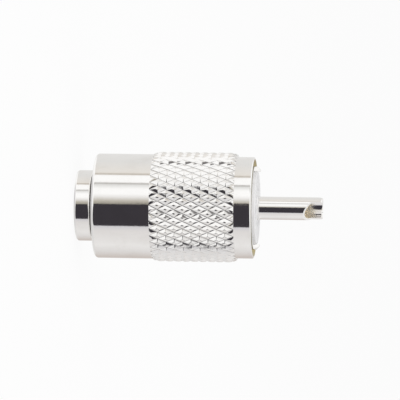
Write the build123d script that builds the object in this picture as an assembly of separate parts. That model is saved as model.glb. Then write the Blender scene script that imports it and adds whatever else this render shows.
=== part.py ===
from build123d import *
from math import cos, pi, radians, sin, tan
import os

os.makedirs("parts", exist_ok=True)

# The connector stands on its tail: +Z runs along its axis from the tail's flat end to the pin's tip,
# and the origin is the centre of that flat end. All sizes are in millimetres.

# Coupling thread, 5/8 inch with 24 threads to the inch
THREAD_MAJOR_RADIUS = 7.94
THREAD_DEPTH = 0.51
THREAD_LENGTH = 10.5

# Coupling ring
RELIEF_DEPTH = 0.12
FRONT_WALL = 0.84
FRONT_LAND = 0.34
REAR_WALL = 0.99
REAR_BAND_LENGTH = 10.03
FRONT_BAND_LENGTH = 2.97
REAR_EDGE_RADIUS = 0.55
FRONT_EDGE_RADIUS = 0.25
FLANGE_THICKNESS = 2.6
SKIRT_DEPTH = 3.1
SKIRT_LEAD_IN = 0.2

# Diamond knurl on the coupling ring
KNURL_COUNT = 42
KNURL_ROWS = 5
KNURL_PITCH = 2.9
KNURL_DEPTH = 0.36
KNURL_FOOT = 0.05
KNURL_GROOVE_STEP = 0.09
KNURL_FLAT_SHARE = 0.2

# Travel of the ring on the body
RING_TRAVEL = 10.0
STOP_GAP = 0.05
TAIL_EXPOSED = 3.27
FLANGE_CLEARANCE = 0.2
SKIRT_CLEARANCE = 0.2
HEAD_CLEARANCE = 0.23

# Plug body
NECK_RADIUS = 5.55
NECK_WALL = 1.65
TAIL_STEP = 0.575
TAIL_WALL = 0.9
TAIL_EDGE = 0.28
COLLAR_LENGTH = 2.81
GROOVE_DEPTH = 0.35
GROOVE_WIDTH = 0.9
JACKET_DEPTH = 5.4
JACKET_LEAD_IN = 0.3
HEAD_FLOOR = 1.2
HEAD_WALL = 0.9
HEAD_EDGE = 0.12
SOLDER_HOLE_RADIUS = 1.5
SOLDER_HOLE_COUNT = 4
SOLDER_HOLE_SETBACK = 8.2

# Locating teeth on the rim of the head
TOOTH_COUNT = 2
TOOTH_RISE = 0.97
TOOTH_SHOULDER = 0.45
TOOTH_TIP_WALL = 0.35
TOOTH_BASE_WIDTH = 1.7
TOOTH_TIP_WIDTH = 1.2

# Insulator
INSULATOR_STANDOUT = 0.58
SEAT_CLEARANCE = 0.02
INSULATOR_EDGE = 0.15

# Centre pin
PIN_RADIUS = 1.98
PIN_WALL = 0.36
PIN_REACH = 11.83
PIN_REAR_REACH = 0.9
PIN_SHANK_STEP = 0.2
PIN_COLLAR_STEP = 0.75
PIN_COLLAR_THICKNESS = 1.2
PIN_NOSE_LENGTH = 0.8
PIN_NOSE_STEP = 0.22
SCOOP_LENGTH = 3.37
SCOOP_FLOOR = 0.5
SCOOP_TURN = 38.0
SCOOP_RAMP_ANGLE = 46.0

# Heights along the axis
ring_rear = TAIL_EXPOSED
knurl_rear = ring_rear + REAR_BAND_LENGTH
knurl_front = knurl_rear + KNURL_ROWS * KNURL_PITCH
ring_front = knurl_front + FRONT_BAND_LENGTH
flange_rear = ring_rear + SKIRT_DEPTH
flange_front = flange_rear + FLANGE_THICKNESS
thread_rear = ring_front - THREAD_LENGTH
tail_front = flange_rear - STOP_GAP
head_rear = flange_front + RING_TRAVEL + STOP_GAP
head_front = ring_front
insulator_rear = head_rear + HEAD_FLOOR
insulator_front = head_front + INSULATOR_STANDOUT
collar_front = insulator_rear + PIN_COLLAR_THICKNESS
pin_rear = insulator_rear - PIN_REAR_REACH
pin_tip = head_front + PIN_REACH
scoop_start = pin_tip - SCOOP_LENGTH
solder_hole_height = head_rear - SOLDER_HOLE_SETBACK

# Radii
thread_minor_radius = THREAD_MAJOR_RADIUS - THREAD_DEPTH
relief_radius = THREAD_MAJOR_RADIUS + RELIEF_DEPTH
rear_band_radius = relief_radius + REAR_WALL
front_band_radius = THREAD_MAJOR_RADIUS + FRONT_WALL
lead_in_radius = front_band_radius - FRONT_LAND
knurl_foot_radius = rear_band_radius + KNURL_FOOT
groove_radius = rear_band_radius + KNURL_GROOVE_STEP
crest_radius = groove_radius + KNURL_DEPTH
tail_radius = NECK_RADIUS + TAIL_STEP
tail_groove_radius = tail_radius - GROOVE_DEPTH
jacket_radius = tail_radius - TAIL_WALL
braid_radius = NECK_RADIUS - NECK_WALL
flange_bore_radius = NECK_RADIUS + FLANGE_CLEARANCE
skirt_radius = tail_radius + SKIRT_CLEARANCE
head_radius = thread_minor_radius - HEAD_CLEARANCE
seat_radius = head_radius - HEAD_WALL
insulator_radius = seat_radius - SEAT_CLEARANCE
shank_radius = PIN_RADIUS + PIN_SHANK_STEP
pin_hole_radius = shank_radius + SEAT_CLEARANCE
pin_bore_radius = PIN_RADIUS - PIN_WALL
collar_radius = shank_radius + PIN_COLLAR_STEP
collar_seat_radius = collar_radius + SEAT_CLEARANCE


def turned(outline):
    """A solid of revolution about Z from its half section, a list of (radius, height) points."""
    section = Plane.XZ * make_face(Polyline(*outline, close=True))
    return revolve(section, axis=Axis.Z)


def circle_edges(solid, radius, height):
    """The round edges of that radius about Z that lie at that height."""
    rings = solid.edges().filter_by(GeomType.CIRCLE)
    level = rings.filter_by_position(Axis.Z, height - 0.001, height + 0.001)
    return level.filter_by(lambda edge: abs(edge.radius - radius) < 0.001)


def ring_blank():
    """The coupling ring as it leaves the lathe, before its band is knurled."""
    outline = [
        (skirt_radius, ring_rear),
        (rear_band_radius, ring_rear),
        (rear_band_radius, knurl_rear),
        (knurl_foot_radius, knurl_rear),
        (knurl_foot_radius, knurl_front),
        (front_band_radius, knurl_front),
        (front_band_radius, ring_front),
        (lead_in_radius, ring_front),
        (thread_minor_radius, ring_front - lead_in_radius + thread_minor_radius),
        (thread_minor_radius, thread_rear),
        (relief_radius, thread_rear),
        (relief_radius, flange_front),
        (flange_bore_radius, flange_front),
        (flange_bore_radius, flange_rear),
        (skirt_radius, flange_rear),
    ]
    blank = turned(outline)
    blank = fillet(circle_edges(blank, rear_band_radius, ring_rear), REAR_EDGE_RADIUS)
    blank = fillet(circle_edges(blank, front_band_radius, ring_front), FRONT_EDGE_RADIUS)
    return chamfer(circle_edges(blank, skirt_radius, ring_rear), SKIRT_LEAD_IN)


def knurl_half_width():
    """Half the angle that one diamond takes up around the ring, in radians."""
    return pi / KNURL_COUNT


def diamond_points(turn, height):
    """The corners of a diamond's foot and of its flat top, as two dictionaries.

    The foot's corners lie on the groove circle, so neighbouring diamonds share them. The top is cut off
    level, which keeps every face of the diamond flat."""
    half_turn = knurl_half_width()
    half_pitch = KNURL_PITCH / 2
    side_radius = groove_radius * cos(half_turn)
    side_reach = groove_radius * sin(half_turn)
    peak_radius = groove_radius + KNURL_DEPTH / (1 - KNURL_FLAT_SHARE)
    tip_share = (peak_radius - crest_radius) / (peak_radius - groove_radius)
    side_share = (peak_radius - crest_radius) / (peak_radius - side_radius)

    def point(outward, sideways, along):
        return Vector(
            outward * cos(turn) - sideways * sin(turn),
            outward * sin(turn) + sideways * cos(turn),
            height + along,
        )

    foot = {
        "front": point(groove_radius, 0, half_pitch),
        "left": point(side_radius, side_reach, 0),
        "rear": point(groove_radius, 0, -half_pitch),
        "right": point(side_radius, -side_reach, 0),
    }
    top = {
        "front": point(crest_radius, 0, half_pitch * tip_share),
        "left": point(crest_radius, side_reach * side_share, 0),
        "rear": point(crest_radius, 0, -half_pitch * tip_share),
        "right": point(crest_radius, -side_reach * side_share, 0),
    }
    return foot, top


def flat_face(points):
    """A flat face with straight edges through the points."""
    return Face(Wire.make_polygon(points))


def diamond_faces(turn, height, corners):
    """The sloping sides and the flat top of a diamond, or of the half of it that has those corners."""
    foot, top = diamond_points(turn, height)
    sides = list(zip(corners, corners[1:]))
    if len(corners) == 4:
        sides.append((corners[-1], corners[0]))
    faces = [flat_face([foot[a], foot[b], top[b], top[a]]) for a, b in sides]
    faces.append(flat_face([top[corner] for corner in corners]))
    return faces


def knurl_end_face(height):
    """The flat ring at one end of the band, from its foot out to the cut diamonds."""
    outline = []
    for index in range(KNURL_COUNT):
        foot, top = diamond_points(2 * index * knurl_half_width(), height)
        outline += [foot["right"], top["right"], top["left"]]
    inner = Wire.make_circle(knurl_foot_radius, Plane((0, 0, height)))
    return Face(Wire.make_polygon(outline), [inner])


def knurl_faces():
    """Every face of the knurled band: whole diamonds, and half ones where the band ends."""
    full = ["front", "left", "rear", "right"]
    front_half = ["left", "front", "right"]
    rear_half = ["left", "rear", "right"]
    faces = []
    for index in range(KNURL_COUNT):
        turn = 2 * index * knurl_half_width()
        next_turn = turn + knurl_half_width()
        faces += diamond_faces(turn, knurl_rear, front_half)
        for row in range(1, KNURL_ROWS):
            faces += diamond_faces(turn, knurl_rear + row * KNURL_PITCH, full)
        faces += diamond_faces(turn, knurl_front, rear_half)
        for row in range(KNURL_ROWS):
            faces += diamond_faces(next_turn, knurl_rear + (row + 0.5) * KNURL_PITCH, full)
    faces.append(knurl_end_face(knurl_rear))
    faces.append(knurl_end_face(knurl_front))
    return faces


def coupling_ring():
    """The turned ring with its plain band exchanged for the knurled one."""
    def is_plain_band(face):
        middle = face.center(CenterOf.BOUNDING_BOX).Z
        on_band = face.geom_type == GeomType.CYLINDER and knurl_rear < middle < knurl_front
        return on_band and abs(face.radius - knurl_foot_radius) < 0.001

    plain = [face for face in ring_blank().faces() if not is_plain_band(face)]
    return Solid(Shell(plain + knurl_faces()))


def tooth():
    """One locating tooth on +X: a bevelled slice of the rim, wedge-shaped along the rim."""
    tip_radius = seat_radius + TOOTH_TIP_WALL
    slice_of_rim = turned([
        (seat_radius, head_front - HEAD_EDGE),
        (head_radius, head_front - HEAD_EDGE),
        (head_radius, head_front + TOOTH_SHOULDER),
        (tip_radius, head_front + TOOTH_RISE),
        (seat_radius, head_front + TOOTH_RISE),
    ])
    wedge = Plane.YZ * make_face(Polyline(
        (-TOOTH_BASE_WIDTH / 2, head_front - HEAD_EDGE),
        (TOOTH_BASE_WIDTH / 2, head_front - HEAD_EDGE),
        (TOOTH_TIP_WIDTH / 2, head_front + TOOTH_RISE),
        (-TOOTH_TIP_WIDTH / 2, head_front + TOOTH_RISE),
        close=True,
    ))
    return slice_of_rim & extrude(wedge, amount=2 * head_radius)


def solder_holes():
    """Radial drillings through the neck's wall."""
    drill = Cylinder(SOLDER_HOLE_RADIUS, 2 * NECK_RADIUS, align=(Align.CENTER, Align.CENTER, Align.MIN))
    across = Pos(0, 0, solder_hole_height) * Rot(0, 90, 0) * drill
    return [Rot(0, 0, 360 * index / SOLDER_HOLE_COUNT) * across for index in range(SOLDER_HOLE_COUNT)]


def plug_body():
    """Tail, neck and head, turned in one piece, with a bore that steps down from the cable's jacket.

    The tail's bare collar ends at a groove, and the part in front of it holds the ring back."""
    outline = [
        (jacket_radius + JACKET_LEAD_IN, 0),
        (tail_radius - TAIL_EDGE, 0),
        (tail_radius, TAIL_EDGE),
        (tail_radius, COLLAR_LENGTH - TAIL_EDGE),
        (tail_radius - TAIL_EDGE, COLLAR_LENGTH),
        (tail_groove_radius, COLLAR_LENGTH),
        (tail_groove_radius, COLLAR_LENGTH + GROOVE_WIDTH),
        (tail_radius, COLLAR_LENGTH + GROOVE_WIDTH),
        (tail_radius, tail_front),
        (NECK_RADIUS, tail_front),
        (NECK_RADIUS, head_rear),
        (head_radius - HEAD_EDGE, head_rear),
        (head_radius, head_rear + HEAD_EDGE),
        (head_radius, head_front - HEAD_EDGE),
        (head_radius - HEAD_EDGE, head_front),
        (seat_radius + HEAD_EDGE, head_front),
        (seat_radius, head_front - HEAD_EDGE),
        (seat_radius, insulator_rear),
        (braid_radius, insulator_rear),
        (braid_radius, JACKET_DEPTH),
        (jacket_radius, JACKET_DEPTH),
        (jacket_radius, JACKET_LEAD_IN),
    ]
    body = turned(outline)
    for hole in solder_holes():
        body -= hole
    for index in range(TOOTH_COUNT):
        body += Rot(0, 0, 360 * index / TOOTH_COUNT) * tooth()
    return body


def insulator():
    """The plastic bush that holds the pin, with a pocket at its back for the pin's collar."""
    return turned([
        (collar_seat_radius, insulator_rear),
        (insulator_radius, insulator_rear),
        (insulator_radius, insulator_front - INSULATOR_EDGE),
        (insulator_radius - INSULATOR_EDGE, insulator_front),
        (pin_hole_radius, insulator_front),
        (pin_hole_radius, collar_front),
        (collar_seat_radius, collar_front),
    ])


def scoop_cutter():
    """The space cut from the pin's tip: a ramp that levels out into a flat, both facing the same way."""
    turn = radians(SCOOP_TURN)
    ramp = radians(SCOOP_RAMP_ANGLE)
    facing = Vector(sin(turn), -cos(turn), 0)
    start = facing * PIN_RADIUS + Vector(0, 0, scoop_start)
    ramp_plane = Plane(origin=start, z_dir=facing + Vector(0, 0, tan(ramp)))
    flat_plane = Plane(origin=facing * SCOOP_FLOOR + Vector(0, 0, pin_tip), z_dir=facing)
    size = 2 * (SCOOP_LENGTH + 2 * PIN_RADIUS)
    space = Box(size, size, size, align=(Align.CENTER, Align.CENTER, Align.MIN))
    return (ramp_plane * space) & (flat_plane * space)


def centre_pin():
    """The hollow contact pin: a shank and collar held by the insulator, and a scooped, open nose."""
    pin = turned([
        (pin_bore_radius, pin_rear),
        (shank_radius, pin_rear),
        (shank_radius, insulator_rear),
        (collar_radius, insulator_rear),
        (collar_radius, collar_front),
        (shank_radius, collar_front),
        (shank_radius, insulator_front),
        (PIN_RADIUS, insulator_front),
        (PIN_RADIUS, pin_tip - PIN_NOSE_LENGTH),
        (PIN_RADIUS - PIN_NOSE_STEP, pin_tip),
        (pin_bore_radius, pin_tip),
    ])
    return pin - scoop_cutter()


export_step(plug_body(), "parts/plug_body.step")
export_step(insulator(), "parts/insulator.step")
export_step(centre_pin(), "parts/centre_pin.step")
export_step(coupling_ring(), "parts/coupling_ring.step")
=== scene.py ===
import random
from math import atan, ceil, cos, degrees, hypot, pi, radians, sin, tan, tau
from typing import NamedTuple

import bmesh
import bpy
from mathutils import Matrix, Vector


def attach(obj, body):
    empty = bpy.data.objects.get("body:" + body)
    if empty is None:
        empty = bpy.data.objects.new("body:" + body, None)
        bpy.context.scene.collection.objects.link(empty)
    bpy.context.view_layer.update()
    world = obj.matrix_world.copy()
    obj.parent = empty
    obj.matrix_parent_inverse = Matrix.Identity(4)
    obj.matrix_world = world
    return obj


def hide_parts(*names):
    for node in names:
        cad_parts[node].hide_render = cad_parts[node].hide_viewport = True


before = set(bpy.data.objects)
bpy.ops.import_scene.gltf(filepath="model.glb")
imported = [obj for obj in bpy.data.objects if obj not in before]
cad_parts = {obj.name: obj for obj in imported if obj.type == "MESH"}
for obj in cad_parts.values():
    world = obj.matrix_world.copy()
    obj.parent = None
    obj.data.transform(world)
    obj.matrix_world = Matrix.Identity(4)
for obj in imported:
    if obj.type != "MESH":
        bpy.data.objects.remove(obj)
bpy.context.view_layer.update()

# The plug stands on its tail: +Z runs from the tail's flat end to the pin's tip. Lengths are in
# millimetres here, and MM turns them into Blender's metres.
MM = 0.001

# Coupling ring. A turn of its thread is given by (share of a pitch, radius) points.
THREAD_MAJOR_RADIUS = 7.94
THREAD_MINOR_RADIUS = 7.43
THREAD_PITCH = 25.4 / 24
THREAD_REAR = 20.27
THREAD_TURN = (
    (0.0, THREAD_MINOR_RADIUS),
    (0.22, THREAD_MINOR_RADIUS),
    (0.55, THREAD_MAJOR_RADIUS),
    (0.67, THREAD_MAJOR_RADIUS),
)
LEAD_IN_RADIUS = 8.44
RELIEF_RADIUS = 8.06
REAR_BAND_RADIUS = 9.05
FRONT_BAND_RADIUS = 8.78
RING_REAR = 3.27
KNURL_REAR = 13.3
KNURL_FRONT = 27.8
RING_FRONT = 30.77
REAR_EDGE_RADIUS = 0.55
FRONT_EDGE_RADIUS = 0.25
FLANGE_REAR = 6.37
FLANGE_FRONT = 8.97
FLANGE_BORE_RADIUS = 5.75
FLANGE_LAND = 0.3
SKIRT_RADIUS = 6.325
SKIRT_LEAD_IN = 0.2
RING_COLUMNS = 336
RING_TURN = -1.4

# Diamond knurl. A level is how far out from a diamond's centre it lies, as a share of its half width,
# and how high it stands, as a share of the knurl's depth. A level's sides have extra points, the ridge
# share from their ends, and the inner levels are askew by the skew. Lean and wear are the most that one
# diamond leans or is worn down. At both ends of the knurl its crests rise over the length of the shoulder,
# from the end share of the depth.
KNURL_COUNT = 42
KNURL_ROWS = 5
KNURL_GROOVE_RADIUS = 9.09
KNURL_DEPTH = 0.41
KNURL_LEVELS = ((1.0, 0.0), (0.93, 0.05), (0.3, 0.92), (0.2, 1.0))
KNURL_RIDGE_SHARE = 0.07
KNURL_SKEW = 0.025
KNURL_LEAN = 0.03
KNURL_WEAR = 0.015
KNURL_SHOULDER = 0.85
KNURL_END_SHARE = 0.12
KNURL_SEED = 42
KNURL_PITCH = (KNURL_FRONT - KNURL_REAR) / KNURL_ROWS
KNURL_HALF_TURN = pi / KNURL_COUNT

# Plug body
TAIL_RADIUS = 6.125
TAIL_FRONT = 6.32
TAIL_EDGE = 0.28
TAIL_COLLAR_LENGTH = 2.81
TAIL_COLLAR_SLOPE = 0.31
TAIL_COLLAR_DROP = 0.13
TAIL_FRONT_EDGE = 0.2
GROOVE_RADIUS = 5.775
GROOVE_WIDTH = 0.9
RETAINING_DEPTH = 0.4
RETAINING_REAR_LAND = 0.2
RETAINING_FRONT_LAND = 0.25
JACKET_RADIUS = 5.225
JACKET_DEPTH = 5.4
JACKET_LEAD_IN = 0.3
JACKET_REAR_LAND = 0.6
JACKET_FRONT_LAND = 0.4
JACKET_THREAD_DEPTH = 0.25
BRAID_RADIUS = 3.9
NECK_RADIUS = 5.55
HEAD_REAR = 19.02
HEAD_RADIUS = 7.2
HEAD_EDGE = 0.04
SEAT_RADIUS = 6.3
INSULATOR_REAR = 20.22
SOLDER_HOLE_RADIUS = 1.5
SOLDER_HOLE_HEIGHT = 10.82
SOLDER_HOLE_COUNT = 4
SOLDER_HOLE_SIDES = 64
DRILL_MIDDLE = 5.0
DRILL_LENGTH = 5.0
RIM_DEPTH = 0.6
TOOTH_COUNT = 2
TOOTH_RISE = 0.97
TOOTH_SHOULDER = 0.45
TOOTH_TIP_WALL = 0.35
TOOTH_EDGE = 0.08
TOOTH_BASE_TURN = 7.0
TOOTH_TIP_TURN = 5.0
BODY_COLUMNS = 360

# A turn of the small threads, which hold the ring on the tail and bite the cable's jacket: (share of a
# pitch, share of the depth) points.
SMALL_THREAD_TURN = ((0.0, 0), (0.2, 0), (0.5, 1), (0.7, 1))
SMALL_PITCH = 1.0

# Insulator and contact pin. A shallow ring in the insulator's face is given by (radius, depth) points.
INSULATOR_FRONT = 31.35
INSULATOR_RADIUS = 6.28
INSULATOR_EDGE = 0.15
INSULATOR_COLUMNS = 180
FACE_RING = ((3.4, 0), (3.25, 0.12), (2.45, 0.12), (2.33, 0))
PIN_HOLE_RADIUS = 2.2
PIN_HOLE_FLARE = 0.02
PIN_HOLE_FLARE_DEPTH = 0.1
COLLAR_SEAT_RADIUS = 2.95
COLLAR_RADIUS = 2.93
COLLAR_FRONT = 21.42
SHANK_RADIUS = 2.18
PIN_RADIUS = 1.98
PIN_BORE_RADIUS = 1.62
PIN_REAR = 19.32
PIN_TIP = 42.598
PIN_NOSE_LENGTH = 0.8
PIN_NOSE_STEP = 0.22
PIN_NOSE_ROWS = 7
PIN_MOUTH_EDGE = 0.1
SCOOP_START = 39.23
SCOOP_FLOOR = 0.5
SCOOP_TURN = 38.0
SCOOP_RAMP_ANGLE = 46.0
SCOOP_BLOCK = 20
PIN_COLUMNS = 96

# The pin has close rows from this far behind its scoop on, so that the cut's faces stay small.
CLOSE_ROWS_START = 0.9
OUTSIDE_ROWS = 12
BORE_ROWS = 14

# Corners of an outline are broken by these sizes. Corners that turn by less than the soft angle are left,
# and a side longer than the long one gets a point the hold's length from its cut, so that its shading stays
# straight. A closed outline starts and ends the seam's step along a straight side.
BROKEN_EDGE = 0.05
MOULDED_EDGE = 0.04
PIN_EDGE = 0.06
SOFT_CORNER = 20.0
HOLD = 0.04
LONG_SIDE = 0.6
SEAM_STEP = 0.5

# Points nearer than this are one, and edges that turn by more than these angles are shaded sharp.
WELD_DISTANCE = 0.0005
SHARP_ANGLE = 70.0
PIN_SHARP_ANGLE = 35.0
NORMAL_WEIGHT = 50


def plain(radius, height):
    """A row of a lathed skin that is the same all the way round."""
    return lambda share: (radius, height)


def arc(centre_radius, centre_height, radius, start, end, steps=8):
    """Points of a rounded corner in the half section, from one angle to another in degrees."""
    points = []
    for step in range(steps + 1):
        angle = radians(start + (end - start) * step / steps)
        points.append((centre_radius + radius * cos(angle), centre_height + radius * sin(angle)))
    return points


def broken(outline, size=BROKEN_EDGE):
    """The outline with its sharper corners cut back a little, as on a real turned edge."""
    points = [outline[0]]
    for before, corner, after in zip(outline, outline[1:], outline[2:]):
        back = Vector(before) - Vector(corner)
        ahead = Vector(after) - Vector(corner)
        if degrees(back.angle(-ahead)) < SOFT_CORNER:
            points.append(corner)
            continue
        cut = min(size, back.length / 3, ahead.length / 3)
        if back.length > LONG_SIDE:
            points.append(tuple(Vector(corner) + back.normalized() * (cut + HOLD)))
        points.append(tuple(Vector(corner) + back.normalized() * cut))
        points.append(tuple(Vector(corner) + ahead.normalized() * cut))
        if ahead.length > LONG_SIDE:
            points.append(tuple(Vector(corner) + ahead.normalized() * (cut + HOLD)))
    points.append(outline[-1])
    return points


def thread(first, last, phases, pitch):
    """Rows of a right-hand thread that runs out into the plain rings first and last.

    Each ring is a (radius, height) pair, and phases are the (share of a pitch, radius) points of one
    turn of the thread. Past either ring the rows lie on it, where they're welded together."""
    way = 1 if last[1] > first[1] else -1
    low, high = sorted((first, last), key=lambda ring: ring[1])

    def row(number, phase, radius):
        def point(share):
            height = first[1] + way * (number + phase) * pitch + share * pitch
            if height <= low[1]:
                return low
            if height >= high[1]:
                return high
            return radius, height
        return point

    turns = ceil((high[1] - low[1]) / pitch)
    return [row(number, phase, radius) for number in range(-1, turns + 2) for phase, radius in phases]


def small_thread(radius, depth):
    """One turn of a small thread cut that deep into a bore, or into a bar where the depth is negative."""
    return [(share, radius + depth * rise) for share, rise in SMALL_THREAD_TURN]


def vertex(mesh, turn, radius, height):
    """A new vertex at that turn in radians, radius and height."""
    return mesh.verts.new(Vector((radius * cos(turn), radius * sin(turn), height)) * MM)


def skin(mesh, rows, columns, closed):
    """Faces between neighbouring rows. A row is a function from a share of a turn to (radius, height)."""
    shares = [column / columns for column in range(columns + 1)]
    grid = [[vertex(mesh, tau * share, *row(share)) for share in shares] for row in rows]
    for lower, upper in zip(grid, grid[1:] + grid[:1] if closed else grid[1:]):
        for column in range(columns):
            mesh.faces.new((lower[column], lower[column + 1], upper[column + 1], upper[column]))


def finished(name, mesh):
    """The welded mesh as an object in the scene."""
    bmesh.ops.remove_doubles(mesh, verts=mesh.verts, dist=WELD_DISTANCE * MM)
    bmesh.ops.recalc_face_normals(mesh, faces=mesh.faces)
    data = bpy.data.meshes.new(name)
    mesh.to_mesh(data)
    mesh.free()
    made = bpy.data.objects.new(name, data)
    bpy.context.scene.collection.objects.link(made)
    return made


def shade(piece, sharp_angle):
    """Smooth shading that keeps the edges above that angle sharp."""
    piece.data.shade_smooth()
    piece.data.set_sharp_from_angle(angle=radians(sharp_angle))
    normals = piece.modifiers.new("normals", "WEIGHTED_NORMAL")
    normals.mode = "FACE_AREA"
    normals.weight = NORMAL_WEIGHT
    normals.keep_sharp = True


def cut(piece, cutter):
    """Takes the cutter out of the piece and removes the cutter."""
    modifier = piece.modifiers.new("cut", "BOOLEAN")
    modifier.operation = "DIFFERENCE"
    modifier.solver = "EXACT"
    modifier.object = cutter
    depsgraph = bpy.context.evaluated_depsgraph_get()
    result = bpy.data.meshes.new_from_object(piece.evaluated_get(depsgraph))
    piece.modifiers.clear()
    piece.data = result
    bpy.data.objects.remove(cutter)


def diamond_corners(part, reach):
    """The corners of one level of a whole diamond, or of the half of it in front of or behind its middle.

    The inner levels are a little askew, because one set of grooves is cut wider than the other."""
    askew = 0 if reach == 1 else KNURL_SKEW
    down, right = (reach, askew), (askew, reach)
    up, left = (-reach, -askew), (-askew, -reach)
    corners = {
        "whole": [down, right, up, left, down],
        "front": [(reach + askew, 0), right, (askew - reach, 0)],
        "rear": [(-reach - askew, 0), left, (reach - askew, 0)],
    }
    return corners[part]


def diamond_line(part, reach):
    """Points along one level of a diamond, close together at its ridges."""
    points = []
    corners = diamond_corners(part, reach)
    for (u0, v0), (u1, v1) in zip(corners, corners[1:]):
        for share in (0, KNURL_RIDGE_SHARE, 1 - KNURL_RIDGE_SHARE):
            points.append((u0 + (u1 - u0) * share, v0 + (v1 - v0) * share))
    if part != "whole":
        points.append(corners[-1])
    return points


def shoulder_stand(height):
    """How high a crest may stand over the grooves there: the band slopes away at both of its ends."""
    inside = min(height - KNURL_REAR, KNURL_FRONT - height)
    return KNURL_DEPTH * (KNURL_END_SHARE + inside / KNURL_SHOULDER)


def diamond(mesh, turn, height, part, chance):
    """One diamond of the knurl, a little worn and leaning. Returns its levels' vertices, from its foot up."""
    lean_round = chance.uniform(-KNURL_LEAN, KNURL_LEAN)
    lean_along = chance.uniform(-KNURL_LEAN, KNURL_LEAN)
    wear = chance.uniform(0, KNURL_WEAR) + hypot(lean_round, lean_along) * KNURL_LEVELS[-1][0]
    levels = []
    for reach, rise in KNURL_LEVELS:
        line = []
        for u, v in diamond_line(part, reach):
            spot = height + v * KNURL_PITCH / 2
            stand = KNURL_DEPTH * rise + rise * (lean_round * u + lean_along * v - wear)
            radius = KNURL_GROOVE_RADIUS + min(stand, shoulder_stand(spot))
            line.append(vertex(mesh, turn + u * KNURL_HALF_TURN, radius, spot))
        levels.append(line)
    for outer, inner in zip(levels, levels[1:]):
        count = len(outer)
        for here in range(count if part == "whole" else count - 1):
            after = (here + 1) % count
            mesh.faces.new((outer[here], outer[after], inner[after], inner[here]))
    mesh.faces.new(levels[-1])
    return levels


def knurl_end(mesh, levels, turn, band_radius, height):
    """The flat face at the end of the knurl under one cut diamond, from the plain band outwards."""
    start = turn - KNURL_HALF_TURN
    turns = [start + tau * column / RING_COLUMNS for column in range(RING_COLUMNS // KNURL_COUNT + 1)]
    band = [vertex(mesh, there, band_radius, height) for there in turns]
    ends = [[line[0] for line in levels], [line[-1] for line in levels]]
    ends.sort(key=lambda side: angle_from(side[0], turn))
    mesh.faces.new(band + ends[1] + ends[0][::-1])


def angle_from(vert, turn):
    """How far a vertex lies round the axis from that turn, in radians."""
    spot = Matrix.Rotation(-turn, 3, "Z") @ vert.co
    return atan(spot.y / spot.x)


def knurl(mesh):
    """The knurled band: whole diamonds, half ones where it ends, and its two end faces."""
    chance = random.Random(KNURL_SEED)
    for index in range(KNURL_COUNT):
        turn = 2 * index * KNURL_HALF_TURN
        cut_rear = diamond(mesh, turn, KNURL_REAR, "front", chance)
        knurl_end(mesh, cut_rear, turn, REAR_BAND_RADIUS, KNURL_REAR)
        cut_front = diamond(mesh, turn, KNURL_FRONT, "rear", chance)
        knurl_end(mesh, cut_front, turn, FRONT_BAND_RADIUS, KNURL_FRONT)
        for row in range(1, KNURL_ROWS):
            diamond(mesh, turn, KNURL_REAR + row * KNURL_PITCH, "whole", chance)
        for row in range(KNURL_ROWS):
            middle = KNURL_REAR + (row + 0.5) * KNURL_PITCH
            diamond(mesh, turn + KNURL_HALF_TURN, middle, "whole", chance)


def coupling_ring():
    """The ring: plain bands, the knurl between them, the coupling thread inside and the flange behind."""
    mesh = bmesh.new()
    front_centre = (FRONT_BAND_RADIUS - FRONT_EDGE_RADIUS, RING_FRONT - FRONT_EDGE_RADIUS)
    rear_centre = (REAR_BAND_RADIUS - REAR_EDGE_RADIUS, RING_REAR + REAR_EDGE_RADIUS)
    lead_in_end = (THREAD_MINOR_RADIUS, RING_FRONT - LEAD_IN_RADIUS + THREAD_MINOR_RADIUS)
    thread_end = (THREAD_MINOR_RADIUS, THREAD_REAR)
    outside = [(FRONT_BAND_RADIUS, KNURL_FRONT), (FRONT_BAND_RADIUS, front_centre[1] - HOLD)]
    outside += arc(*front_centre, FRONT_EDGE_RADIUS, 0, 90)
    outside += broken([outside.pop(), (LEAD_IN_RADIUS, RING_FRONT), lead_in_end])
    inside = broken([
        thread_end,
        (RELIEF_RADIUS, THREAD_REAR),
        (RELIEF_RADIUS, FLANGE_FRONT),
        (FLANGE_BORE_RADIUS, FLANGE_FRONT),
        (FLANGE_BORE_RADIUS, FLANGE_FRONT - FLANGE_LAND),
    ])
    rear = broken([
        (FLANGE_BORE_RADIUS, FLANGE_REAR + FLANGE_LAND),
        (FLANGE_BORE_RADIUS, FLANGE_REAR),
        (SKIRT_RADIUS, FLANGE_REAR),
        (SKIRT_RADIUS, RING_REAR + SKIRT_LEAD_IN),
        (SKIRT_RADIUS + SKIRT_LEAD_IN, RING_REAR),
        (rear_centre[0], RING_REAR),
    ])
    rear += arc(*rear_centre, REAR_EDGE_RADIUS, -90, 0)[1:]
    rear += [(REAR_BAND_RADIUS, rear_centre[1] + HOLD), (REAR_BAND_RADIUS, KNURL_REAR)]
    rows = [plain(*point) for point in outside]
    rows += thread(lead_in_end, thread_end, THREAD_TURN, THREAD_PITCH)
    rows += [plain(*point) for point in inside]
    rows += thread(inside[-1], rear[0], small_thread(FLANGE_BORE_RADIUS, RETAINING_DEPTH), SMALL_PITCH)
    rows += [plain(*point) for point in rear]
    skin(mesh, rows, RING_COLUMNS, closed=False)
    knurl(mesh)
    bmesh.ops.rotate(mesh, verts=mesh.verts, matrix=Matrix.Rotation(radians(RING_TURN), 3, "Z"))
    return finished("ring_knurled", mesh)


def tooth_rise(share):
    """How far the rim has risen up a tooth at that share of a turn: 0 on the plain rim, 1 on the tip."""
    from_tooth = abs((share * TOOTH_COUNT + 0.5) % 1 - 0.5) * 360 / TOOTH_COUNT
    return min(max((TOOTH_BASE_TURN - from_tooth) / (TOOTH_BASE_TURN - TOOTH_TIP_TURN), 0), 1)


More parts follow.
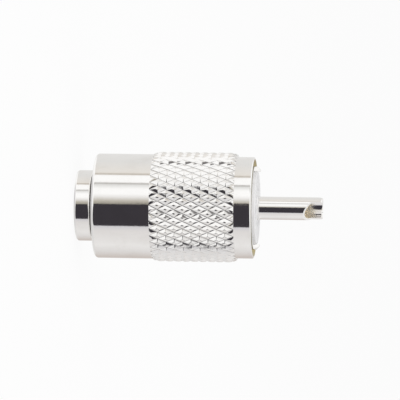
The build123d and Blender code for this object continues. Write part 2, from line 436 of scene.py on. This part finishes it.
def rim_row(plain_point, tooth_point):
    """A row over the rim that goes from its plain place to its place on a tooth."""
    def point(share):
        rise = tooth_rise(share)
        return tuple(low + (high - low) * rise for low, high in zip(plain_point, tooth_point))
    return point


def rim_rows():
    """The rim of the head with its locating teeth, from outside to inside."""
    tip = RING_FRONT + TOOTH_RISE
    tip_radius = SEAT_RADIUS + TOOTH_TIP_WALL
    return [
        plain(HEAD_RADIUS, RING_FRONT - RIM_DEPTH),
        rim_row((HEAD_RADIUS, RING_FRONT - HEAD_EDGE), (HEAD_RADIUS, RING_FRONT + TOOTH_SHOULDER)),
        rim_row((HEAD_RADIUS - HEAD_EDGE, RING_FRONT), (tip_radius, tip)),
        rim_row((SEAT_RADIUS + HEAD_EDGE, RING_FRONT), (SEAT_RADIUS + TOOTH_EDGE, tip)),
        rim_row((SEAT_RADIUS, RING_FRONT - HEAD_EDGE), (SEAT_RADIUS, tip - TOOTH_EDGE)),
        plain(SEAT_RADIUS, RING_FRONT - RIM_DEPTH),
    ]


def solder_hole_drills():
    """Round bars where the solder holes go through the neck's wall."""
    mesh = bmesh.new()
    for index in range(SOLDER_HOLE_COUNT):
        place = Matrix.Rotation(tau * index / SOLDER_HOLE_COUNT, 4, "Z")
        place @= Matrix.Translation(Vector((DRILL_MIDDLE, 0, SOLDER_HOLE_HEIGHT)) * MM)
        place @= Matrix.Rotation(pi / 2, 4, "Y")
        bmesh.ops.create_cone(
            mesh, cap_ends=True, segments=SOLDER_HOLE_SIDES, radius1=SOLDER_HOLE_RADIUS * MM,
            radius2=SOLDER_HOLE_RADIUS * MM, depth=DRILL_LENGTH * MM, matrix=place,
        )
    return finished("drills", mesh)


def plug_body():
    """The turned body: tail, neck, solder holes, head, rim and teeth."""
    mesh = bmesh.new()
    groove_front = TAIL_COLLAR_LENGTH + GROOVE_WIDTH
    tail = broken([
        (JACKET_RADIUS, JACKET_LEAD_IN + JACKET_REAR_LAND),
        (JACKET_RADIUS, JACKET_LEAD_IN),
        (JACKET_RADIUS + JACKET_LEAD_IN, 0),
        (TAIL_RADIUS - TAIL_EDGE, 0),
        (TAIL_RADIUS, TAIL_EDGE),
        (TAIL_RADIUS, TAIL_COLLAR_LENGTH - TAIL_COLLAR_SLOPE),
        (TAIL_RADIUS - TAIL_COLLAR_DROP, TAIL_COLLAR_LENGTH),
        (GROOVE_RADIUS, TAIL_COLLAR_LENGTH),
        (GROOVE_RADIUS, groove_front),
        (TAIL_RADIUS, groove_front),
        (TAIL_RADIUS, groove_front + RETAINING_REAR_LAND),
    ])
    neck = broken([
        (TAIL_RADIUS, TAIL_FRONT - RETAINING_FRONT_LAND),
        (TAIL_RADIUS - TAIL_FRONT_EDGE, TAIL_FRONT),
        (NECK_RADIUS, TAIL_FRONT),
        (NECK_RADIUS, HEAD_REAR),
        (HEAD_RADIUS - HEAD_EDGE, HEAD_REAR),
        (HEAD_RADIUS, HEAD_REAR + HEAD_EDGE),
        (HEAD_RADIUS, RING_FRONT - RIM_DEPTH),
    ])
    bore = broken([
        (SEAT_RADIUS, RING_FRONT - RIM_DEPTH),
        (SEAT_RADIUS, INSULATOR_REAR),
        (BRAID_RADIUS, INSULATOR_REAR),
        (BRAID_RADIUS, JACKET_DEPTH),
        (JACKET_RADIUS, JACKET_DEPTH),
        (JACKET_RADIUS, JACKET_DEPTH - JACKET_FRONT_LAND),
    ])
    rows = [plain(*point) for point in tail]
    rows += thread(tail[-1], neck[0], small_thread(TAIL_RADIUS, -RETAINING_DEPTH), SMALL_PITCH)
    rows += [plain(*point) for point in neck[:-1]]
    rows += rim_rows()
    rows += [plain(*point) for point in bore[1:]]
    rows += thread(bore[-1], tail[0], small_thread(JACKET_RADIUS, JACKET_THREAD_DEPTH), SMALL_PITCH)
    skin(mesh, rows, BODY_COLUMNS, closed=True)
    body = finished("body_turned", mesh)
    cut(body, solder_hole_drills())
    return body


def insulator():
    """The moulded bush, with a shallow ring round its pin hole and a pocket behind for the collar."""
    mesh = bmesh.new()
    seam = (COLLAR_SEAT_RADIUS, COLLAR_FRONT - SEAM_STEP)
    outline = broken([
        seam,
        (COLLAR_SEAT_RADIUS, INSULATOR_REAR),
        (INSULATOR_RADIUS, INSULATOR_REAR),
        (INSULATOR_RADIUS, INSULATOR_FRONT - INSULATOR_EDGE),
        (INSULATOR_RADIUS - INSULATOR_EDGE, INSULATOR_FRONT),
        *[(radius, INSULATOR_FRONT - depth) for radius, depth in FACE_RING],
        (PIN_HOLE_RADIUS + PIN_HOLE_FLARE, INSULATOR_FRONT),
        (PIN_HOLE_RADIUS, INSULATOR_FRONT - PIN_HOLE_FLARE_DEPTH),
        (PIN_HOLE_RADIUS, COLLAR_FRONT),
        (COLLAR_SEAT_RADIUS, COLLAR_FRONT),
        seam,
    ], MOULDED_EDGE)
    skin(mesh, [plain(*point) for point in outline], INSULATOR_COLUMNS, closed=False)
    return finished("insulator_moulded", mesh)


def keep_beyond(mesh, point, normal):
    """Keeps what lies beyond a plane and closes the cut."""
    parts = mesh.verts[:] + mesh.edges[:] + mesh.faces[:]
    made = bmesh.ops.bisect_plane(mesh, geom=parts, plane_co=point, plane_no=normal, clear_inner=True)
    edges = [part for part in made["geom_cut"] if isinstance(part, bmesh.types.BMEdge)]
    bmesh.ops.contextual_create(mesh, geom=edges)


def scoop():
    """The space that is cut from the pin's tip: a ramp that levels out into a flat, both facing one way."""
    mesh = bmesh.new()
    middle = Matrix.Translation(Vector((0, 0, PIN_TIP)) * MM)
    bmesh.ops.create_cube(mesh, size=SCOOP_BLOCK * MM, matrix=middle)
    turn = radians(SCOOP_TURN)
    facing = Vector((sin(turn), -cos(turn), 0))
    start = facing * PIN_RADIUS + Vector((0, 0, SCOOP_START))
    keep_beyond(mesh, start * MM, facing + Vector((0, 0, tan(radians(SCOOP_RAMP_ANGLE)))))
    keep_beyond(mesh, facing * SCOOP_FLOOR * MM, facing)
    return finished("scoop", mesh)


def steps(start, end, count):
    """Points at even steps from one (radius, height) point to another."""
    return [tuple(Vector(start).lerp(Vector(end), step / count)) for step in range(count + 1)]


def pin_nose(start):
    """The rounded nose of the pin, from its plain outside to the edge of its bore."""
    points = []
    for step in range(1, PIN_NOSE_ROWS + 1):
        angle = radians(90 * step / PIN_NOSE_ROWS)
        radius = PIN_RADIUS - PIN_NOSE_STEP * (1 - cos(angle))
        points.append((radius, start + PIN_NOSE_LENGTH * sin(angle)))
    return points + [(PIN_BORE_RADIUS + PIN_MOUTH_EDGE, PIN_TIP)]


def contact_pin():
    """The hollow pin with its collar and its scooped tip."""
    mesh = bmesh.new()
    root = SCOOP_START - CLOSE_ROWS_START
    nose = PIN_TIP - PIN_NOSE_LENGTH
    seam = (PIN_BORE_RADIUS, PIN_REAR + SEAM_STEP)
    outline = broken([
        seam,
        (PIN_BORE_RADIUS, PIN_REAR),
        (SHANK_RADIUS, PIN_REAR),
        (SHANK_RADIUS, INSULATOR_REAR),
        (COLLAR_RADIUS, INSULATOR_REAR),
        (COLLAR_RADIUS, COLLAR_FRONT),
        (SHANK_RADIUS, COLLAR_FRONT),
        (SHANK_RADIUS, INSULATOR_FRONT),
        (PIN_RADIUS, INSULATOR_FRONT),
        *steps((PIN_RADIUS, root), (PIN_RADIUS, nose), OUTSIDE_ROWS),
        *pin_nose(nose),
        *steps((PIN_BORE_RADIUS, PIN_TIP - PIN_MOUTH_EDGE), (PIN_BORE_RADIUS, root), BORE_ROWS),
        seam,
    ], PIN_EDGE)
    skin(mesh, [plain(*point) for point in outline], PIN_COLUMNS, closed=False)
    pin = finished("pin_scooped", mesh)
    cut(pin, scoop())
    return pin


# Plating: its bright colour and roughness, those of its stains and smears, and the depths of its turning
# marks and ripples in metres.
PLATING_COLOUR = (0.975, 0.965, 0.95)
STAIN_COLOUR = (0.93, 0.915, 0.895)
PLATING_ROUGHNESS = 0.045
SMEAR_ROUGHNESS = 0.1
TURNING_DEPTH = 0.0000006
RIPPLE_DEPTH = 0.0000025

# Colour and roughness of the patches that replace the bright plating. The knurl's, groove's and head side's
# are painted shade, the mouth's is brass darkened by painted shade, and the bores' are brass.
KNURL_SHADE = ((0.3, 0.3, 0.31), 0.3)
# Brass darkened by painted shade, in the ring's mouth.
MOUTH_BRASS_AND_SHADE = ((0.45, 0.37, 0.17), 0.25)
BRAID_BORE_BRASS = ((0.85, 0.76, 0.58), 0.25)
GROOVE_SHADE = ((0.22, 0.21, 0.2), 0.35)
HEAD_SIDE_SHADE = ((0.3, 0.27, 0.19), 0.35)
PIN_BORE_BRASS = ((1.0, 0.94, 0.82), 0.8)

# Where those patches are. Values with a fade of their own are the two ends of a band, and the others run
# from where a patch starts to where it is full.
KNURL_SHADE_RADII = (REAR_BAND_RADIUS + 0.05, KNURL_GROOVE_RADIUS + 0.012)
KNURL_SHADE_FADE = 0.012
MOUTH_RADII = (LEAD_IN_RADIUS + 0.02, LEAD_IN_RADIUS - 0.04)
MOUTH_HEIGHTS = (THREAD_REAR - 2, THREAD_REAR)
BRAID_BORE_RADII = (BRAID_RADIUS + 0.3, BRAID_RADIUS)
GROOVE_RADII = (TAIL_RADIUS - TAIL_COLLAR_DROP, TAIL_RADIUS - TAIL_COLLAR_DROP - 0.05)
GROOVE_FLOOR_RADII = (JACKET_RADIUS + 0.3, JACKET_RADIUS + 0.4)
GROOVE_HEIGHTS = (TAIL_COLLAR_LENGTH - 0.02, TAIL_COLLAR_LENGTH + GROOVE_WIDTH)
GROOVE_FADE = 0.02
HEAD_SIDE_RADII = (HEAD_RADIUS - 0.06, HEAD_RADIUS - 0.02)
HEAD_SIDE_HEIGHTS = (HEAD_REAR + 0.2, RING_FRONT + 0.12)
HEAD_SIDE_FADE = 0.1
PIN_BORE_RADII = (PIN_BORE_RADIUS + 0.1, PIN_BORE_RADIUS + 0.02)
PIN_BORE_HEIGHTS = (PIN_TIP - 0.8, SCOOP_START + 0.2)

# Insulator's plastic: colours and roughness of the clean parts and of the haze and grain, how much light it
# lets in, and the depths of its marks and grain in metres.
PLASTIC_COLOUR = (0.885, 0.88, 0.89)
HAZE_COLOUR = (0.84, 0.835, 0.84)
PLASTIC_ROUGHNESS = 0.32
GRAIN_ROUGHNESS = 0.48
PLASTIC_SUBSURFACE = 0.15
PLASTIC_SCATTER = (0.5, 0.5, 0.5)
PLASTIC_MARK_DEPTH = 0.000004
GRAIN_DEPTH = 0.000003


def new_material(name):
    """A material whose one shader is returned with its node tree."""
    material = bpy.data.materials.new(name)
    material.use_nodes = True
    return material, material.node_tree, material.node_tree.nodes["Principled BSDF"]


def math_node(tree, operation, first, second=None):
    """A Math node fed by sockets or numbers. Returns its output."""
    node = tree.nodes.new("ShaderNodeMath")
    node.operation = operation
    for socket, value in zip(node.inputs, (first, second)):
        if value is None:
            continue
        if isinstance(value, (int, float)):
            socket.default_value = value
        else:
            tree.links.new(value, socket)
    return node.outputs[0]


def ramp(tree, factor, stops):
    """A Color Ramp over that factor. Stops are (position, colour) pairs.

    A ramp sorts its elements by position, so all of them are placed before the first is coloured."""
    node = tree.nodes.new("ShaderNodeValToRGB")
    elements = node.color_ramp.elements
    while len(elements) < len(stops):
        elements.new(0.5)
    for element, (position, colour) in zip(elements, stops):
        element.position = position
    for element, (position, colour) in zip(elements, stops):
        element.position = position
        element.color = (*colour, 1)
    tree.links.new(factor, node.inputs[0])
    return node.outputs[0]


def grey_ramp(tree, factor, *stops):
    """A ramp of plain values. Stops are (position, value) pairs."""
    return ramp(tree, factor, [(position, (value,) * 3) for position, value in stops])


def between(tree, value, start, end):
    """0 where the value is at start, 1 where it is at end, and held beyond them."""
    node = tree.nodes.new("ShaderNodeMapRange")
    node.interpolation_type = "SMOOTHSTEP"
    node.inputs["From Min"].default_value = start
    node.inputs["From Max"].default_value = end
    tree.links.new(value, node.inputs["Value"])
    return node.outputs["Result"]


def noise(tree, vector, scale, detail=3.0, roughness=0.55):
    """A Noise texture over that vector. Returns its factor."""
    node = tree.nodes.new("ShaderNodeTexNoise")
    node.inputs["Scale"].default_value = scale
    node.inputs["Detail"].default_value = detail
    node.inputs["Roughness"].default_value = roughness
    tree.links.new(vector, node.inputs["Vector"])
    return node.outputs[0]


def blend_colours(tree, factor, first, second):
    """A mix of two colours, each a socket or a triple."""
    node = tree.nodes.new("ShaderNodeMix")
    node.data_type = "RGBA"
    tree.links.new(factor, node.inputs["Factor"])
    for socket, value in zip((node.inputs[6], node.inputs[7]), (first, second)):
        if isinstance(value, tuple):
            socket.default_value = (*value, 1)
        else:
            tree.links.new(value, socket)
    return node.outputs[2]


def place_sockets(tree):
    """Object coordinates in millimetres: the whole vector, the radius from the axis, and the height."""
    coordinates = tree.nodes.new("ShaderNodeTexCoord")
    scale = tree.nodes.new("ShaderNodeVectorMath")
    scale.operation = "SCALE"
    scale.inputs["Scale"].default_value = 1 / MM
    tree.links.new(coordinates.outputs["Object"], scale.inputs[0])
    parts = tree.nodes.new("ShaderNodeSeparateXYZ")
    tree.links.new(scale.outputs[0], parts.inputs[0])
    squares = [math_node(tree, "MULTIPLY", parts.outputs[axis], parts.outputs[axis]) for axis in (0, 1)]
    radius = math_node(tree, "SQRT", math_node(tree, "ADD", *squares))
    return scale.outputs[0], radius, parts.outputs[2]


def turning_marks(tree, radius, height, scale):
    """Fine rings left by the lathe, which run round the axis."""
    along = tree.nodes.new("ShaderNodeCombineXYZ")
    tree.links.new(radius, along.inputs[0])
    tree.links.new(height, along.inputs[1])
    return noise(tree, along.outputs[0], scale, detail=2.0)


def add_bump(tree, shader, heights):
    """Bumps from (height socket, depth in metres) pairs, one on top of the other."""
    normal = None
    for height, depth in heights:
        bump = tree.nodes.new("ShaderNodeBump")
        bump.inputs["Strength"].default_value = 1.0
        bump.inputs["Distance"].default_value = depth
        tree.links.new(height, bump.inputs["Height"])
        if normal:
            tree.links.new(normal, bump.inputs["Normal"])
        normal = bump.outputs[0]
    tree.links.new(normal, shader.inputs["Normal"])


def plating(name, *patches):
    """Bright nickel plating with faint stains, smears and turning marks.

    Each patch is a (colour, roughness) pair and a mask. The mask is a function from the tree, radius and
    height to a socket that is 1 where these replace the bright plating."""
    material, tree, shader = new_material(name)
    place, radius, height = place_sockets(tree)
    stains = between(tree, noise(tree, place, scale=0.35, detail=4.0), 0.4, 0.75)
    colour = blend_colours(tree, stains, PLATING_COLOUR, STAIN_COLOUR)
    smears = noise(tree, place, scale=1.3, detail=5.0, roughness=0.65)
    rough = grey_ramp(tree, smears, (0.3, PLATING_ROUGHNESS), (0.75, SMEAR_ROUGHNESS))
    for (patch_colour, patch_rough), mask in patches:
        there = mask(tree, radius, height)
        colour = blend_colours(tree, there, colour, patch_colour)
        rough = blend_colours(tree, there, rough, (patch_rough,) * 3)
    tree.links.new(colour, shader.inputs["Base Color"])
    tree.links.new(rough, shader.inputs["Roughness"])
    shader.inputs["Metallic"].default_value = 1.0
    marks = turning_marks(tree, radius, height, scale=9.0)
    ripples = noise(tree, place, scale=2.2)
    add_bump(tree, shader, [(marks, TURNING_DEPTH), (ripples, RIPPLE_DEPTH)])
    return material


def band_mask(tree, value, low, high, soft):
    """1 where the value lies between low and high, with soft edges."""
    above = between(tree, value, low - soft, low)
    below = between(tree, value, high + soft, high)
    return math_node(tree, "MULTIPLY", above, below)


def ring_plating():
    """The coupling ring's plating: painted shade in the knurl's grooves, and brass darkened by painted shade
    in the mouth of its thread.
    """
    def grooves(tree, radius, height):
        # Painted shade along the knurl's grooves.
        return band_mask(tree, radius, *KNURL_SHADE_RADII, KNURL_SHADE_FADE)

    def mouth(tree, radius, height):
        # Brass darkened by painted shade in the mouth of the thread.
        inward = between(tree, radius, *MOUTH_RADII)
        forward = between(tree, height, *MOUTH_HEIGHTS)
        return math_node(tree, "MULTIPLY", inward, forward)

    return plating("ring_plating", (KNURL_SHADE, grooves), (MOUTH_BRASS_AND_SHADE, mouth))


def body_plating():
    """The body's plating: a little brassy in its bore, with painted shade in the tail's groove and on the
    head's side inside the ring.
    """
    def bore(tree, radius, height):
        return between(tree, radius, *BRAID_BORE_RADII)

    def groove(tree, radius, height):
        # Painted shade in the tail's groove next to the ring.
        inward = between(tree, radius, *GROOVE_RADII)
        along = band_mask(tree, height, *GROOVE_HEIGHTS, GROOVE_FADE)
        outside = between(tree, radius, *GROOVE_FLOOR_RADII)
        return math_node(tree, "MULTIPLY", math_node(tree, "MULTIPLY", inward, along), outside)

    def head_side(tree, radius, height):
        # Painted shade on the head's side inside the ring's mouth.
        outward = between(tree, radius, *HEAD_SIDE_RADII)
        along = band_mask(tree, height, *HEAD_SIDE_HEIGHTS, HEAD_SIDE_FADE)
        return math_node(tree, "MULTIPLY", outward, along)

    patches = [(BRAID_BORE_BRASS, bore), (GROOVE_SHADE, groove), (HEAD_SIDE_SHADE, head_side)]
    return plating("body_plating", *patches)


def pin_plating():
    """The pin's plating, brassy deep in its bore."""
    def bore(tree, radius, height):
        inward = between(tree, radius, *PIN_BORE_RADII)
        deep = between(tree, height, *PIN_BORE_HEIGHTS)
        return math_node(tree, "MULTIPLY", inward, deep)

    return plating("pin_plating", (PIN_BORE_BRASS, bore))


def insulator_plastic():
    """Satin white plastic with faint moulding haze."""
    material, tree, shader = new_material("insulator_plastic")
    place, radius, height = place_sockets(tree)
    haze = between(tree, noise(tree, place, scale=0.8, detail=4.0), 0.3, 0.75)
    colour = blend_colours(tree, haze, PLASTIC_COLOUR, HAZE_COLOUR)
    tree.links.new(colour, shader.inputs["Base Color"])
    grain = noise(tree, place, scale=6.0, detail=5.0)
    rough = grey_ramp(tree, grain, (0.3, PLASTIC_ROUGHNESS), (0.7, GRAIN_ROUGHNESS))
    tree.links.new(rough, shader.inputs["Roughness"])
    shader.inputs["Subsurface Weight"].default_value = PLASTIC_SUBSURFACE
    shader.inputs["Subsurface Radius"].default_value = PLASTIC_SCATTER
    shader.inputs["Subsurface Scale"].default_value = MM
    marks = turning_marks(tree, radius, height, scale=7.0)
    add_bump(tree, shader, [(marks, PLASTIC_MARK_DEPTH), (grain, GRAIN_DEPTH)])
    return material


def dress(piece, body, node, material, sharp_angle=SHARP_ANGLE):
    """Shades a piece, gives it its material and puts it in its CAD node's place."""
    shade(piece, sharp_angle)
    piece.data.materials.clear()
    piece.data.materials.append(material)
    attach(piece, body)
    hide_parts(node)


# Light zones that polished metal sees round it: (turn from the photographer's side towards +X in degrees,
# colour). Pale walls stand all round, with two soft boxes and a few thin gaps between them.
WHITE_BOX = (1.0, 1.0, 1.0)
PALE_WALL = (0.8, 0.795, 0.785)
WARM_WALL = (0.6, 0.55, 0.52)
ROOM_ZONES = (
    (-180, PALE_WALL),
    (-115, (0.75, 0.745, 0.735)),
    (-79, (0.8, 0.77, 0.73)),
    (-74, (0.48, 0.43, 0.37)),
    (-71, WHITE_BOX),
    (-54, WHITE_BOX),
    (-51, (0.42, 0.4, 0.38)),
    (-48, (0.74, 0.74, 0.73)),
    (-38, WHITE_BOX),
    (-27, WHITE_BOX),
    (-20, (0.84, 0.83, 0.82)),
    (-11, (0.52, 0.49, 0.43)),
    (-4, (0.34, 0.32, 0.27)),
    (46, (0.64, 0.63, 0.66)),
    (57, (0.73, 0.71, 0.705)),
    (96, (0.82, 0.81, 0.805)),
    (118, (0.74, 0.725, 0.72)),
    (150, WARM_WALL),
    (168, WARM_WALL),
    (180, PALE_WALL),
)

# The zones further forward and back than those, which the knurl's faces see.
FAR_ZONES = (
    (-180, (0.88, 0.88, 0.88)),
    (-130, WHITE_BOX),
    (0, WHITE_BOX),
    (24, (0.93, 0.93, 0.93)),
    (46, (0.74, 0.735, 0.74)),
    (120, (0.74, 0.735, 0.73)),
    (160, PALE_WALL),
    (180, (0.88, 0.88, 0.88)),
)

# Tilts, as sines, between which the far zones and then the walls at both ends take over.
FAR_START = 0.24
FAR_END = 0.4
WALL_START = 0.7
WALL_END = 0.9
FRONT_WALL = (0.95, 0.95, 0.95)
REAR_WALL = (0.62, 0.61, 0.62)

# The even light that dull surfaces get, and how soft a card's edge is, as a share of its reach.
FILL_LEVEL = 0.75
CARD_EDGE = 0.06


class Card(NamedTuple):
    """An oval dark card near the camera.

    turn and tilt say where its middle is, in degrees round the plug and as a sine along it, and half_turn
    and half_tilt are half its width and length. Both ends lie bend further round, and besides that the
    front end lies lean further round and the rear end as much less."""

    turn: float
    half_turn: float
    tilt: float
    half_tilt: float
    colour: tuple
    bend: float = 0.0
    lean: float = 0.0

    def mask(self, tree, turn, tilt):
        """1 where a reflected ray meets the card."""
        along = math_node(tree, "DIVIDE", math_node(tree, "SUBTRACT", tilt, self.tilt), self.half_tilt)
        along_square = math_node(tree, "MULTIPLY", along, along)
        bend = math_node(tree, "MULTIPLY", along_square, self.bend)
        lean = math_node(tree, "MULTIPLY", along, self.lean)
        middle = math_node(tree, "ADD", math_node(tree, "ADD", bend, lean), self.turn)
        across = math_node(tree, "DIVIDE", math_node(tree, "SUBTRACT", turn, middle), self.half_turn)
        reach = math_node(tree, "ADD", math_node(tree, "MULTIPLY", across, across), along_square)
        return between(tree, reach, 1 + CARD_EDGE, 1 - CARD_EDGE)


# A broad card before the plug, a small one beside it that only the plug's front half sees, and a grey one
# further forward that only faces leaning that way see.
DARK_CARD = (0.042, 0.038, 0.045)
GREY_CARD = (0.2, 0.19, 0.19)
CARDS = (
    Card(turn=20.5, half_turn=24.5, tilt=-0.11, half_tilt=0.455, colour=DARK_CARD, bend=10.0, lean=2.5),
    Card(turn=-4.0, half_turn=6.0, tilt=-0.07, half_tilt=0.033, colour=DARK_CARD),
    Card(turn=-44.0, half_turn=6.0, tilt=0.44, half_tilt=0.2, colour=GREY_CARD),
)


def room():
    """The world: white to the camera, plain light on dull surfaces, and a studio's zones in the metal."""
    world = bpy.data.worlds.new("room")
    bpy.context.scene.world = world
    world.use_nodes = True
    tree = world.node_tree
    tree.nodes.clear()
    coordinates = tree.nodes.new("ShaderNodeTexCoord")
    parts = tree.nodes.new("ShaderNodeSeparateXYZ")
    tree.links.new(coordinates.outputs["Generated"], parts.inputs[0])
    toward = math_node(tree, "MULTIPLY", parts.outputs[1], -1.0)
    turn = math_node(tree, "ARCTAN2", parts.outputs[0], toward)
    share = math_node(tree, "ADD", math_node(tree, "DIVIDE", turn, tau), 0.5)
    tilt = parts.outputs[2]
    near_walls, far_walls = [
        ramp(tree, share, [(angle / 360 + 0.5, colour) for angle, colour in zones])
        for zones in (ROOM_ZONES, FAR_ZONES)
    ]
    far = between(tree, math_node(tree, "ABSOLUTE", tilt), FAR_START, FAR_END)
    metal_sees = blend_colours(tree, far, near_walls, far_walls)
    front = between(tree, tilt, WALL_START, WALL_END)
    metal_sees = blend_colours(tree, front, metal_sees, FRONT_WALL)
    rear = between(tree, tilt, -WALL_START, -WALL_END)
    metal_sees = blend_colours(tree, rear, metal_sees, REAR_WALL)
    for card in CARDS:
        there = card.mask(tree, math_node(tree, "DEGREES", turn), tilt)
        metal_sees = blend_colours(tree, there, metal_sees, card.colour)
    path = tree.nodes.new("ShaderNodeLightPath")
    not_camera = blend_colours(tree, path.outputs["Is Glossy Ray"], (FILL_LEVEL,) * 3, metal_sees)
    colour = blend_colours(tree, path.outputs["Is Camera Ray"], not_camera, WHITE_BOX)
    background = tree.nodes.new("ShaderNodeBackground")
    tree.links.new(colour, background.inputs["Color"])
    output = tree.nodes.new("ShaderNodeOutputWorld")
    tree.links.new(background.outputs[0], output.inputs["Surface"])


# The floor: how many metres it reaches to each side, its colour and roughness, and how much of what the
# camera sees of it is a white glow.
FLOOR_REACH = 20
FLOOR_COLOUR = (0.9, 0.9, 0.9)
FLOOR_ROUGHNESS = 0.9
FLOOR_GLOW = 0.9


def floor():
    """A plain pale floor under the tail, near white to the camera, that keeps the plug's shadow."""
    mesh = bmesh.new()
    bmesh.ops.create_grid(mesh, x_segments=1, y_segments=1, size=FLOOR_REACH)
    made = finished("floor", mesh)
    material, tree, shader = new_material("floor")
    shader.inputs["Base Color"].default_value = (*FLOOR_COLOUR, 1)
    shader.inputs["Roughness"].default_value = FLOOR_ROUGHNESS
    shader.inputs["Specular IOR Level"].default_value = 0.0
    glow = tree.nodes.new("ShaderNodeEmission")
    path = tree.nodes.new("ShaderNodeLightPath")
    mix = tree.nodes.new("ShaderNodeMixShader")
    seen = math_node(tree, "MULTIPLY", path.outputs["Is Camera Ray"], FLOOR_GLOW)
    tree.links.new(seen, mix.inputs[0])
    tree.links.new(shader.outputs[0], mix.inputs[1])
    tree.links.new(glow.outputs[0], mix.inputs[2])
    tree.links.new(mix.outputs[0], tree.nodes["Material Output"].inputs["Surface"])
    made.data.materials.append(material)
    made.visible_glossy = False


# The lamps and the camera are placed in metres. The lamps are aimed at the plug's middle.
LAMP_AIM = Vector((0, 0, 0.02))


def lamp(name, place, size, power):
    """A soft square lamp aimed at the plug, which the metal doesn't mirror."""
    data = bpy.data.lights.new(name, "AREA")
    data.size = size
    data.energy = power
    made = bpy.data.objects.new(name, data)
    bpy.context.scene.collection.objects.link(made)
    made.location = place
    aim = LAMP_AIM - Vector(place)
    made.rotation_euler = aim.to_track_quat("-Z", "Y").to_euler()
    made.visible_glossy = False


# The photographer stands off -Y with the plug lying along the picture: image right is +Z.
CAMERA_TARGET = Vector((-0.00123, 0, 0.02129))
CAMERA_DISTANCE = 0.584
CAMERA_RISE = 5.26
CAMERA_ROLL = 0.86
PICTURE_WIDTH = 0.0693
SENSOR_WIDTH = 36.0


def camera():
    """The camera at the photograph's angle, with a long lens."""
    rise = radians(CAMERA_RISE)
    roll = radians(CAMERA_ROLL)
    back = Vector((0, -cos(rise), sin(rise)))
    along = Vector((0, sin(rise), cos(rise)))
    above = Vector((-1, 0, 0))
    right = along * cos(roll) + above * sin(roll)
    up = above * cos(roll) - along * sin(roll)
    data = bpy.data.cameras.new("camera")
    data.sensor_width = SENSOR_WIDTH
    data.lens = SENSOR_WIDTH * CAMERA_DISTANCE / PICTURE_WIDTH
    made = bpy.data.objects.new("camera", data)
    bpy.context.scene.collection.objects.link(made)
    turn = Matrix((right, up, back)).transposed()
    made.matrix_world = Matrix.Translation(CAMERA_TARGET + back * CAMERA_DISTANCE) @ turn.to_4x4()
    bpy.context.scene.camera = made


bpy.context.scene.view_settings.view_transform = "Standard"
dress(coupling_ring(), "ring", "coupling_ring", ring_plating())
dress(plug_body(), "plug", "plug_body", body_plating())
dress(insulator(), "plug", "insulator", insulator_plastic())
dress(contact_pin(), "plug", "centre_pin", pin_plating(), PIN_SHARP_ANGLE)
room()
floor()
lamp("key", place=(-0.3, -0.5, 0.25), size=0.4, power=1.0)
lamp("rim", place=(0.4, 0.1, 0.4), size=0.5, power=0.35)
camera()
